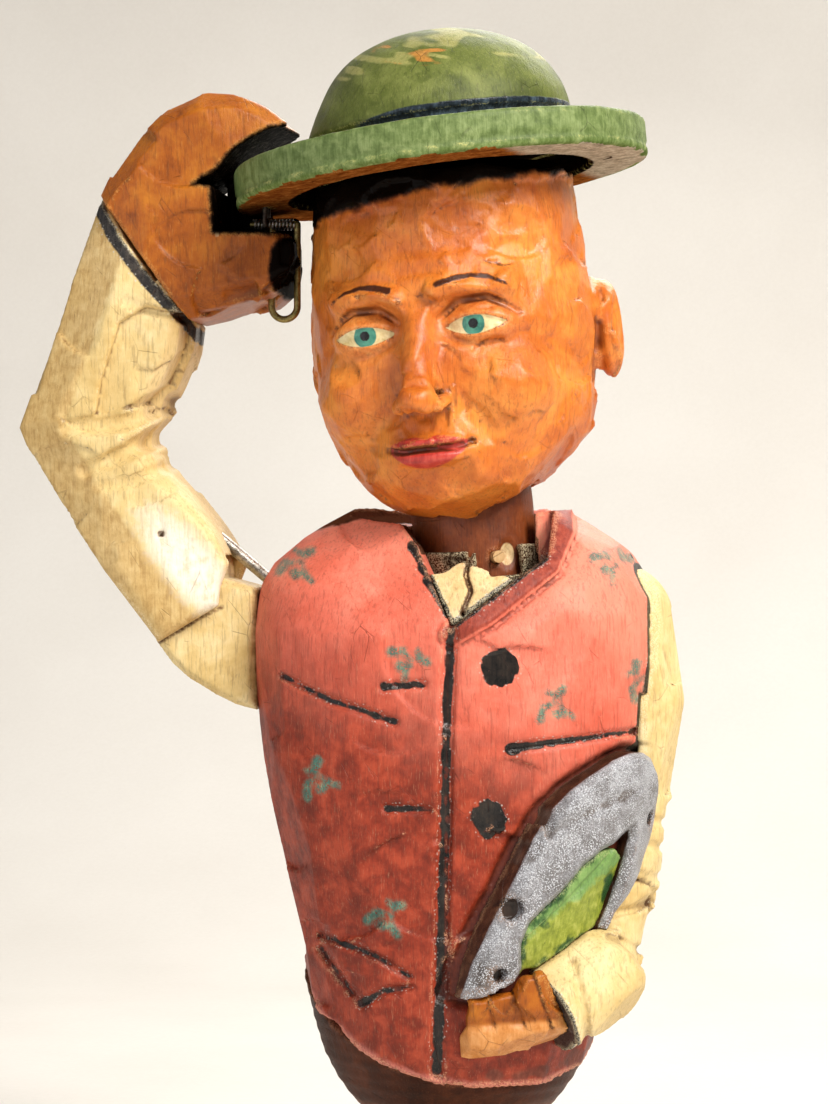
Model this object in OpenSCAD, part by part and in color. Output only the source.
// Carved hat-tipping man on a bottle cork. Pressing the tab in his back swings his right arm
// outward and lifts the hat off his head.
// +Z is up, the figure faces -Y, and his right hand side is -X.
// The origin is the centre of the seat, where the wooden base meets the top of the cork.
// Names ending in _r are radii, and those ending in _half are half sizes.

/* [Stopper] */
// Radius of the cork
cork_r = 9.5; // [9:0.1:10]
// Length of the cork below the seat
cork_len = 24; // [20:1:30]
// Chamfer on the cork's lower edge
cork_chamfer = 1.2; // [0.6:0.1:2]
// Radius of the hidden dowel that joins cork and base
cork_dowel_r = 2.5; // [2:0.1:3]

/* [Base] */
// Radius of the base at the seat
seat_r = 9.6; // [9.5:0.1:10]
// Radius of the spigot that fills the body's bore
spigot_r = 9; // [8:0.1:9.5]
// Height of the spigot's top above the seat
spigot_top = 26; // [24:1:27]

/* [Body] */
// Half of the shoulder width
shoulder_half = 20; // [19:0.1:20.5]
// Half of the chest depth
chest_half = 14.6; // [14.4:0.1:15.2]
// Height of the hem plane on the body's centre line
hem_z = 10.3; // [9.9:0.1:10.7]

/* [Head] */
// Lean of neck, head and hat towards his right shoulder, in degrees
head_lean = 5.5; // [4.5:0.5:6.5]
// Turn of the face towards his right, in degrees
head_yaw = 9; // [5:1:12]
// Radius of the neck dowel
neck_r = 6.15; // [6:0.05:6.2]
// Running clearance of the neck dowel in the collar ring
neck_gap = 0.08; // [0.05:0.01:0.1]
// Half of the head width
head_half = 14.6; // [13.6:0.1:14.8]

/* [Hat] */
// Radius of the brim
brim_r = 20.8; // [20:0.1:21]
// Thickness of the brim
brim_thick = 3.7; // [3.2:0.1:3.8]
// Radius of the crown where it meets the brim
crown_r = 13.4; // [12.6:0.1:13.5]
// Height of the crown above the brim
crown_height = 11.6; // [10:0.1:13]
// Depth of the hollow under the hat
hat_recess = 2.6; // [2.4:0.1:2.8]

/* [Arm] */
// Half thickness of the sleeve at its fork
fork_half = 6.2; // [6:0.1:6.6]
// Half thickness of the shoulder stub inside the fork
stub_half = 4.6; // [4.2:0.1:4.6]
// Radius of the shoulder pin
pin_r = 0.8; // [0.7:0.05:0.9]
// Running clearance of the shoulder pin
pin_gap = 0.06; // [0.04:0.01:0.1]
// Radius of the crank wire
crank_r = 0.6; // [0.5:0.05:0.6]

/* [Lever] */
// Radius of the lever wire
lever_r = 0.7; // [0.6:0.05:0.7]
// Width of the thumb tab
tab_w = 6; // [5:0.5:6.4]
// Reach of the thumb tab behind the axle
tab_len = 12.5; // [10:0.5:14]

/* [Hidden] */
$fn = 48;

// colours shared by several pieces
DOWEL_WOOD = [0.80, 0.66, 0.45];
HAND_WOOD = [0.76, 0.42, 0.16];
SLEEVE_WOOD = [0.84, 0.77, 0.55];

// ---- Helpers ----

module x_rod(length, r) {
    rotate([0, 90, 0]) cylinder(h = length, r = r);
}
module ball(place, r, facets = 24) {
    translate(place) sphere(r = r, $fn = facets);
}
module ellipsoid(place, radii, facets = 32) {
    translate(place) scale(radii) sphere(r = 1, $fn = facets);
}
// turns a 2D shape drawn in X and Z into a slab centred on y = 0
module slab(half) {
    rotate([90, 0, 0]) translate([0, 0, -half]) linear_extrude(2 * half) children();
}
// half a ring of round wire
module wire_bend(bend_r, wire_r) {
    rotate_extrude(angle = 180, $fn = 32) translate([bend_r, 0]) circle(r = wire_r, $fn = 16);
}

// ---- Cork and base ----

DOWEL_HOLE_BOTTOM = -14;
DOWEL_HOLE_TOP = 10.6;
HEM_X = -0.262;                  // rise of the hem per mm of x
HEM_Y = 0.485;                   // rise of the hem per mm of y
HEM_SLOPE = atan(norm([HEM_X, HEM_Y]));

// everything below the slanting hem, raised by up
module below_hem(up = 0) {
    translate([0, 0, hem_z + up]) rotate(a = HEM_SLOPE, v = [HEM_Y, -HEM_X, 0])
        translate([-60, -60, -120]) cube([120, 120, 120]);
}
// flaring foot, cut off at the hem
module foot(up = 0) {
    intersection() {
        rotate_extrude() polygon([
            [0, 0], [seat_r, 0], [10.55, 1.1], [11.85, 2.9], [13.15, 5.4], [14.1, 8.6],
            [14.9, 12.5], [15.2, 16], [15.2, 24], [0, 24]]);
        below_hem(up);
    }
}

module cork_stopper() {
    color([0.72, 0.56, 0.38]) difference() {
        rotate_extrude() polygon([
            [0, -cork_len], [cork_r - cork_chamfer, -cork_len],
            [cork_r, cork_chamfer - cork_len], [cork_r, 0], [0, 0]]);
        translate([0, 0, DOWEL_HOLE_BOTTOM]) cylinder(h = 20, r = cork_dowel_r);
    }
}
module cork_dowel() {
    bottom = DOWEL_HOLE_BOTTOM + 0.2;
    top = DOWEL_HOLE_TOP - 0.1;
    color(DOWEL_WOOD) translate([0, 0, bottom]) cylinder(h = top - bottom, r = cork_dowel_r - 0.02);
}
module base_block() {
    color([0.36, 0.20, 0.12]) difference() {
        union() {
            foot(-0.02);
            cylinder(h = spigot_top, r = spigot_r);
        }
        translate([0, 0, -1]) cylinder(h = 1 + DOWEL_HOLE_TOP, r = cork_dowel_r);
    }
}

// ---- Body ----

// body sections: [z, half width, half depth, shift in y]
SECTIONS = [
    [1.6, 11.8, 11.8, 0], [2.6, 12.3, 12.3, 0], [6, 14.0, 14.0, 0], [10.5, 14.9, 14.7, 0],
    [16, 15.4, 14.9, 0], [24, 17.1, chest_half + 0.1, 0], [32, 18.7, chest_half, 0],
    [40, 19.7, chest_half, 0], [47, shoulder_half, chest_half - 0.4, 0],
    [51.5, shoulder_half - 0.5, 12.8, 0.4], [55, 17.4, 11.2, 1.0], [58, 12.6, 9.4, 1.6],
    [60, 8.6, 7.6, 2.0]];
NECK_FOOT = [2.5, 0, 50];        // foot of the neck's axis
COLLAR_R = 7.4;
AXLE_Y = 11;                     // lever axle
AXLE_Z = 43.56;
FINGER_X = -9.5;                 // lever's finger
FINGER_WAY_HALF = 1.3;
STUB_DOWEL_R = 1.5;
STUB_DOWEL_Z = 43.3;
PLATE_PLACE = [-12.6, 12.02, 38.8];
PLATE_SIZE = [20.2, 1.0, 10.2];

// leaning frame of neck and hat, with z up the neck's axis
module in_hat() {
    translate(NECK_FOOT) rotate([0, -head_lean, 0]) children();
}
module in_head() {
    in_hat() rotate([0, 0, -head_yaw]) children();
}
module at_axle(x = 0) {
    translate([x, AXLE_Y, AXLE_Z]) children();
}

// superellipse: power 2 is an ellipse, and higher powers are squarer
function signed_pow(value, power) = sign(value) * pow(abs(value), power);
function superellipse(half_w, half_d, power) = [for (angle = [0:9:351])
    [half_w * signed_pow(cos(angle), 2 / power), half_d * signed_pow(sin(angle), 2 / power)]];

// the carved body's outer form, grown by grow all round
module body_form(grow = 0) {
    hull() for (s = SECTIONS) translate([0, s[3], s[0] - 0.05]) linear_extrude(0.1)
        polygon(superellipse(s[1] + grow, s[2] + grow, s[0] < 20 ? 2.1 : 2.5));
}
// neck opening in the front of the chest
module vee(grow = 0) {
    translate([0, -4, 0]) rotate([90, 0, 0]) linear_extrude(20) polygon([
        [-2.6 - grow, 60], [-2.6 - grow, 55.2], [1.0, 47.5 - grow], [9.9 + grow, 54.4],
        [10.3 + grow, 60]]);
}
// space that the chin and jaw sweep through when the head turns
module head_room() {
    in_hat() rotate_extrude() polygon([
        [0, 8.1], [9.4, 8.1], [12.2, 9.5], [14, 12.2], [15.4, 17], [15.4, 30], [0, 30]]);
}
// the way that the crank wire sweeps inside the body
module crank_way() {
    slab(1.1) polygon([[-24, 59.5], [-5, 51.5], [-5, 42.5], [-7.6, 41.2], [-24, 55.2]]);
}
// the way that the lever's finger sweeps, drawn in Y and Z from the axle
module finger_way() {
    at_axle(FINGER_X - FINGER_WAY_HALF) rotate([90, 0, 90]) linear_extrude(2 * FINGER_WAY_HALF)
        polygon([[5, 1.5], [-0.6, 1.5], [-14.2, 9.2], [-14.2, -2.6], [-0.6, -1.5], [5, -1.5]]);
}
// groove for the lever's axle, open to the back
module axle_groove() {
    groove_r = lever_r + 0.06;
    at_axle(FINGER_X - FINGER_WAY_HALF) {
        x_rod(17, groove_r);
        translate([0, 0, -groove_r]) cube([17, 8, 2 * groove_r]);
    }
}
// room for the thumb tab's hub; front is its front face's y from the axle
module tab_room(gap, front, depth) {
    at_axle() translate([-tab_w / 2 - gap, front, -2.7 - gap])
        cube([tab_w + 2 * gap, depth, 2 * (2.7 + gap)]);
}
// at the two brads, with z pointing to the back
module at_brads(y) {
    for (x = [-11.8, 6.8]) translate([x, y, 46.6]) rotate([-90, 0, 0]) children();
}
module brad_holes(y) {
    at_brads(y) cylinder(h = 8, r = 0.42);
}
// cylinder on the line of the shoulder stub's dowel
module stub_dowel_rod(x, length, r) {
    translate([x, 0, STUB_DOWEL_Z]) x_rod(length, r);
}

module vest_body() {
    color([0.80, 0.36, 0.28]) difference() {
        body_form();
        below_hem();
        // bore for the spigot
        translate([0, 0, -2]) cylinder(h = 2 + spigot_top + 0.6, r = spigot_r + 0.03);
        // bore for the collar
        in_hat() translate([0, 0, -5]) cylinder(h = 30, r = COLLAR_R + 0.02);
        vee();
        head_room();
        crank_way();
        finger_way();
        axle_groove();
        tab_room(gap = 0.5, front = -2.4, depth = 10);
        // rebate for the back plate
        translate(PLATE_PLACE - [0.15, 0.02, 0.2])
            cube([PLATE_SIZE[0] + 0.3, 8, PLATE_SIZE[2] + 0.4]);
        brad_holes(9.2);
        stub_dowel_rod(-22, 8.2, STUB_DOWEL_R);
        // slot that the stub is let into
        translate([-26, -stub_half - 0.02, 36]) cube([6.6, 2 * stub_half + 0.04, 26]);
    }
}

// ---- Neck and head ----

PEG_Z = 4.1;                     // height of the neck's peg up the neck's axis
PEG_R = 0.6;

// neck frame turned so that x points along the peg
module in_peg() {
    in_hat() rotate([0, 0, -66]) children();
}

module shirt_collar() {
    color([0.86, 0.80, 0.60]) difference() {
        union() {
            in_hat() translate([0, 0, -4.98]) cylinder(h = 10.2, r = COLLAR_R);
            // shirt front that fills the vee
            intersection() {
                vee(-0.03);
                body_form(-0.7);
                translate([-20, -20, 40]) cube([40, 40, 14.6]);
            }
        }
        in_hat() translate([0, 0, -6]) cylinder(h = 30, r = neck_r + neck_gap);
        // notch in which the neck's peg plays
        in_peg() translate([4, -1.68, 2.2]) cube([12, 3.36, 12]);
    }
}
module neck_dowel() {
    color([0.45, 0.27, 0.16]) difference() {
        in_hat() translate([0, 0, -4.6]) cylinder(h = 20.2, r = neck_r);
        in_peg() translate([2.6, 0, PEG_Z]) x_rod(8, PEG_R + 0.02);
    }
}
module neck_peg() {
    color([0.78, 0.60, 0.38]) in_peg() translate([2.7, 0, PEG_Z]) x_rod(4.3, PEG_R);
}

// disc facing sideways, for the ear on side -1 or 1
module ear_disc(side, place, thick, r) {
    translate([side * place[0], place[1], place[2]]) rotate([0, 90, side * 18])
        translate([0, 0, -1]) cylinder(h = thick, r = r, $fn = 20);
}
module head() {
    color([0.80, 0.45, 0.20]) difference() {
        in_head() {
            // skull, jaw, chin and flat top
            hull() {
                ellipsoid([0, 0.6, 29.5], [head_half, 15.8, 14.9]);
                ellipsoid([0, -1.5, 19], [head_half - 1.3, 14.2, 9.6]);
                ellipsoid([0, -7.4, 12.5], [6.4, 5.6, 4], 24);
                translate([0, 0.2, 40.8]) cylinder(h = 2.2, r1 = 13.8, r2 = 12.6, $fn = 48);
            }
            // nose
            hull() {
                ball([0, -14.2, 28], 1.6, 16);
                ball([0, -16.7, 19.6], 2.3, 20);
                ball([2.2, -14.6, 19.2], 1.7, 16);
                ball([-2.2, -14.6, 19.2], 1.7, 16);
            }
            for (side = [-1, 1]) hull() {
                ear_disc(side, [14.4, 4.6, 28.2], 2, 2.6);
                ear_disc(side, [14.0, 3.2, 22.4], 1.8, 1.5);
            }
        }
        // hole for the neck dowel
        in_hat() cylinder(h = 15.9, r = neck_r + 0.03);
    }
}

// ---- Hat and its link ----

BRIM_Z = 42.35;                  // underside of the brim along the neck's axis
STAPLE = [-19, -1, 87.6];        // centre of the staple's bend
STAPLE_BEND_R = 0.75;
STAPLE_WIRE_R = 0.3;
LINK_LEG_X = -18.45;             // link wire's leg in the hand

module staple_legs(length, r) {
    for (side = [-1, 1]) translate([0, side * STAPLE_BEND_R, 0])
        cylinder(h = length, r = r, $fn = 16);
}

module hat() {
    // profiles as [radius, height above the brim's underside]
    brim = [
        [0, hat_recess], [14.6, hat_recess], [15.0, 0], [brim_r - 0.5, 0], [brim_r, 0.5],
        [brim_r, brim_thick - 0.5], [brim_r - 0.5, brim_thick],
        [crown_r + 0.2, brim_thick + 0.1], [crown_r - 0.35, brim_thick + 0.5],
        [crown_r - 0.35, brim_thick + 1.9]];
    crown = [for (angle = [12:6:90])
        [crown_r * pow(cos(angle), 0.9), brim_thick + crown_height * pow(sin(angle), 0.95)]];
    color([0.36, 0.45, 0.20]) difference() {
        in_hat() translate([0, 0, BRIM_Z]) rotate_extrude() polygon(concat(brim, crown));
        translate(STAPLE) staple_legs(4.4, STAPLE_WIRE_R + 0.01);
    }
}
module hat_staple() {
    color([0.75, 0.76, 0.78]) translate(STAPLE) {
        staple_legs(4.3, STAPLE_WIRE_R);
        rotate([0, 90, 0]) rotate([0, 0, -90]) wire_bend(STAPLE_BEND_R, STAPLE_WIRE_R);
    }
}
// top rod through the staple, and a U below it with one leg in the hand
module hat_link_wire() {
    wire_r = 0.35;
    corner_x = -15.85;
    y = STAPLE[1];
    top = STAPLE[2];
    bottom = 79.4;               // where the legs meet the bend
    color([0.66, 0.62, 0.42]) union() {
        translate([-20.6, y, top]) x_rod(corner_x + 20.6, wire_r);
        ball([corner_x, y, top], wire_r, 16);
        for (x = [LINK_LEG_X, corner_x]) translate([x, y, bottom])
            cylinder(h = top - bottom, r = wire_r);
        translate([(LINK_LEG_X + corner_x) / 2, y, bottom]) rotate([90, 0, 0])
            rotate([0, 0, 180]) wire_bend((corner_x - LINK_LEG_X) / 2, wire_r);
    }
}

// ---- Right arm ----

PIVOT = [-27.6, 0, 52.5];        // middle of the shoulder pin
CRANK_OFFSET = 5.25;             // crank wire's line passes this far from the shoulder pin
CRANK_DROOP = 39.8;              // its slope down towards +X at rest
CUFF = [-30.6, 0, 84.05];        // middle of the right cuff
CUFF_TILT = atan2(0.812, 0.584); // wrist's lean from upright towards +X
WRIST_R = 2.0;
// outlines in X and Z
HAND = [
    [-35.1, 90.3], [-34.0, 92.2], [-31.1, 96], [-29.1, 98.2], [-25.1, 100.2], [-21.1, 100],
    [-18.4, 98.6], [-16.5, 97.1], [-16.3, 95.2], [-16.5, 84.5], [-16.9, 81.4], [-18.6, 79.7],
    [-21.6, 78.8], [-26.1, 77.8]];
UPPER_ARM = [
    [-43.1, 65.5], [-39.6, 60], [-34.6, 53], [-29.1, 45.9], [-23.1, 49.5], [-22.8, 51.9],
    [-22.1, 53.6], [-25.6, 61], [-28.4, 63.8], [-29.6, 66.6], [-38, 72], [-43.8, 67.2]];
FOREARM = [
    [-43.8, 67.2], [-43.0, 65.4], [-38, 62.5], [-29.6, 64.4], [-29.0, 68.5], [-27.6, 73],
    [-26.16, 77.87], [-35.16, 90.37], [-38.6, 81], [-41.6, 73]];

// at the right cuff, with z along the wrist from height z
module at_cuff(z) {
    translate(CUFF) rotate([0, CUFF_TILT, 0]) translate([0, 0, z]) children();
}
// at the shoulder pin, with x along the crank wire
module at_crank() {
    translate(PIVOT) rotate([0, CRANK_DROOP, 0]) children();
}
// cylinder on the shoulder pin's line, centred on y = 0
module pivot_disc(half, r) {
    translate(PIVOT) rotate([90, 0, 0]) translate([0, 0, -half]) cylinder(h = 2 * half, r = r);
}

module right_hand() {
    color(HAND_WOOD) difference() {
        hull() {
            slab(4.6) polygon(HAND);
            slab(7.0) offset(delta = -2.2) polygon(HAND);
        }
        // mouth that is open towards the hat
        slab(12) polygon([
            [-24.3, 92.6], [-23.5, 86.45], [-10, 86.2], [-10, 99.9], [-16, 97.7], [-20, 96.3],
            [-22.3, 95]]);
        // hole for the link wire
        translate([LINK_LEG_X, STAPLE[1], 70]) cylinder(h = 20, r = 0.6, $fn = 24);
        at_cuff(-1) cylinder(h = 7.1, r = WRIST_R + 0.02);
    }
}
module wrist_dowel() {
    color(DOWEL_WOOD) at_cuff(-5.8) cylinder(h = 11.6, r = WRIST_R);
}
module right_sleeve() {
    gap_half = stub_half + 0.2;
    color(SLEEVE_WOOD) difference() {
        union() {
            hull() {
                slab(3.8) polygon(UPPER_ARM);
                slab(fork_half) offset(delta = -1.7) polygon(UPPER_ARM);
                // full thickness at the fork's end
                slab(fork_half) polygon([
                    [-29.1, 45.9], [-23.1, 49.5], [-22.1, 53.6], [-26, 58], [-33, 53.5]]);
            }
            hull() {
                slab(4.0) polygon(FOREARM);
                slab(6.6) offset(delta = -2.2) polygon(FOREARM);
                // cuff
                at_cuff(-0.5) scale([1.12, 1, 1]) cylinder(h = 0.42, r = 6.85, $fn = 36);
            }
        }
        // fork for the shoulder stub
        pivot_disc(gap_half, 4.75);
        intersection() {
            pivot_disc(gap_half, 7.6);
            translate([-40, -gap_half, 40]) cube([20, 2 * gap_half, 11.6]);
        }
        translate([PIVOT[0], -gap_half, 40]) cube([20, 2 * gap_half, 13.2]);
        // shoulder pin's hole, tight in both cheeks
        pivot_disc(10, pin_r + 0.01);
        // crank wire's hole
        at_crank() translate([-9, 0, CRANK_OFFSET]) x_rod(20, crank_r + 0.01);
        at_cuff(-6) cylinder(h = 8, r = WRIST_R + 0.02);
    }
}
module shoulder_stub() {
    color(SLEEVE_WOOD) difference() {
        union() {
            slab(stub_half) polygon([
                [-19.42, 51.2], [-19.42, 39.2], [-21.6, 39.7], [-23.6, 40.6], [-26.1, 42.2],
                [-28.0, 43.9], [-29.6, 46.0], [-31.2, 49.9], [-27.6, 52.5], [-24.6, 52.6]]);
            pivot_disc(stub_half, 4.35);
        }
        pivot_disc(10, pin_r + pin_gap);
        stub_dowel_rod(-24.4, 8, STUB_DOWEL_R);
        // keeps clear of the crank wire
        at_crank() translate([-2, -1.1, CRANK_OFFSET - crank_r - 0.25]) cube([16, 2.2, 6]);
    }
}
module stub_dowel() {
    color(DOWEL_WOOD) stub_dowel_rod(-24.2, 10.2, STUB_DOWEL_R - 0.02);
}
module shoulder_pin() {
    color([0.55, 0.55, 0.56]) pivot_disc(fork_half - 0.3, pin_r);
}
module crank_wire() {
    color([0.40, 0.37, 0.32]) at_crank() translate([-8.8, 0, CRANK_OFFSET]) x_rod(27.7, crank_r);
}

// ---- Lever and back plate ----

FINGER_DROOP = 2.6;              // slope of the lever's finger at rest

module lever_wire() {
    color([0.62, 0.62, 0.64]) union() {
        at_axle(FINGER_X) x_rod(15.2, lever_r);
        at_axle(FINGER_X) sphere(r = lever_r, $fn = 24);
        at_axle(FINGER_X) rotate([90 + FINGER_DROOP, 0, 0]) cylinder(h = 13, r = lever_r);
    }
}
module lever_tab() {
    corner_r = 1.6;
    thick = 1.7;
    color([0.70, 0.50, 0.28]) difference() {
        at_axle() rotate([14, 0, 0]) hull() {
            translate([-tab_w / 2, 0, 0]) rotate([0, 90, 0])
                cylinder(h = tab_w, r = 1.75, $fn = 24);
            for (side = [-1, 1])
                translate([side * (tab_w / 2 - corner_r), tab_len - corner_r, -thick / 2])
                    cylinder(h = thick, r = corner_r, $fn = 20);
        }
        at_axle(-tab_w) x_rod(2 * tab_w, lever_r + 0.01);
    }
}
module back_plate() {
    color([0.62, 0.52, 0.30]) difference() {
        translate(PLATE_PLACE) cube(PLATE_SIZE);
        tab_room(gap = 0.45, front = -1, depth = 6);
        brad_holes(9);
    }
}
module back_plate_brads() {
    color([0.72, 0.62, 0.36]) at_brads(9.4) {
        cylinder(h = 3.7, r = 0.4);
        translate([0, 0, 3.64]) cylinder(h = 0.45, r = 0.9);
    }
}

// ---- Left arm, horseshoe and clover ----

SHOE_TURN = 38;                  // horseshoe's place round the body, from the front
SHOE_CENTRE = [12.2, -11.6, 22.6];
SHOE_TILT = 20;
// outline of the horseshoe, feet down
SHOE_OUTLINE = [
    [-6.5, -13], [-6.8, -9.6], [-6.6, -6], [-6.3, -2.1], [-5.9, 3.3], [-5.5, 5.9],
    [-4.3, 8.6], [-3, 10.4], [-0.8, 12.8], [1, 14.1], [2.8, 14.7], [4.6, 14.7],
    [6.2, 13.9], [7.6, 12.4], [8.6, 10.2], [9, 7.4], [8.6, 4], [7.4, 1.2],
    [6.2, -0.8], [5.4, -6], [4.6, -12]];
// the opening it leaves
SHOE_OPENING = [
    [-2.4, -16], [-2.6, -8.6], [-3.4, -6.4], [-3.45, -4.4], [-2.6, -2.6], [-1.3, -0.2],
    [-0.3, 2.4], [1.3, 4.4], [2.6, 5.4], [3.6, 6.7], [4.2, 7.3], [4.7, 6.6],
    [4.85, 4.3], [4.9, 2], [4.8, -0.5], [4.4, -4.2], [3.9, -8], [3.2, -16]];
// the leaf stops short of the opening's pointed corner
LEAF_LIMIT = [[-8, -17], [-8, 4.2], [1.2, 4.4], [3.2, 5.2], [4.3, 4.9], [8, 3.4], [8, -17]];

module left_fist() {
    hull() {
        ball([3.0, -13.0, 9.6], 2.9);
        ball([6.6, -13.6, 11.2], 3.1);
        ball([10.2, -12.2, 13.0], 3.3);
        ball([10.0, -12.0, 9.4], 3.2);
        ball([3.4, -12.8, 7.8], 2.8);
    }
}
module sleeve_form() {
    // upper arm
    hull() {
        ball([16.2, 0.8, 48.2], 5.4);
        ball([16.9, 0.8, 40], 5.9);
        ball([14.3, 0.6, 21], 5.8);
        ball([13.5, -0.4, 16.6], 5.4);
    }
    // forearm
    hull() {
        ball([13.5, -0.4, 16.6], 5.4);
        ball([14.0, -3.0, 13.4], 4.8);
        ball([14.5, -8.4, 13.8], 4.6);
        ball([9.6, -11.6, 10.6], 4.9);
    }
}
// the sleeve's side of the plane between sleeve and hand
module cuff_side(gap) {
    translate([11.35 + gap, -12.95, 10.2]) rotate([0, -26, 34])
        translate([0, -20, -20]) cube([40, 40, 40]);
}
// a 2D shape raised on the body's surface by height, clear of the left arm
module relief(height) {
    difference() {
        intersection() {
            translate(SHOE_CENTRE) rotate([0, 0, SHOE_TURN]) rotate([90, 0, 0])
                rotate([0, 0, -SHOE_TILT]) translate([0, 0, -4]) linear_extrude(16) children();
            body_form(height);
        }
        body_form(0.02);
        left_fist();
        sleeve_form();
    }
}

module left_sleeve() {
    color([0.88, 0.83, 0.64]) difference() {
        intersection() {
            sleeve_form();
            union() {
                cuff_side(0.02);
                translate([11, -7.5, 0]) cube([20, 30, 60]);
            }
        }
        body_form(0.01);
        foot();
    }
}
module left_hand() {
    color(HAND_WOOD) difference() {
        left_fist();
        body_form(0.01);
        cuff_side(0);
        foot();
    }
}
module horseshoe() {
    color([0.62, 0.63, 0.66]) difference() {
        relief(2.3) difference() {
            polygon(SHOE_OUTLINE);
            polygon(SHOE_OPENING);
        }
        foot();
    }
}
module clover() {
    color([0.42, 0.56, 0.16]) relief(1.3) intersection() {
        offset(delta = -0.1) polygon(SHOE_OPENING);
        polygon(LEAF_LIMIT);
    }
}

cork_stopper();
cork_dowel();
base_block();
vest_body();
shirt_collar();
neck_dowel();
neck_peg();
head();
hat();
hat_staple();
hat_link_wire();
right_hand();
wrist_dowel();
right_sleeve();
shoulder_stub();
stub_dowel();
shoulder_pin();
crank_wire();
lever_wire();
lever_tab();
back_plate();
back_plate_brads();
left_sleeve();
left_hand();
horseshoe();
clover();
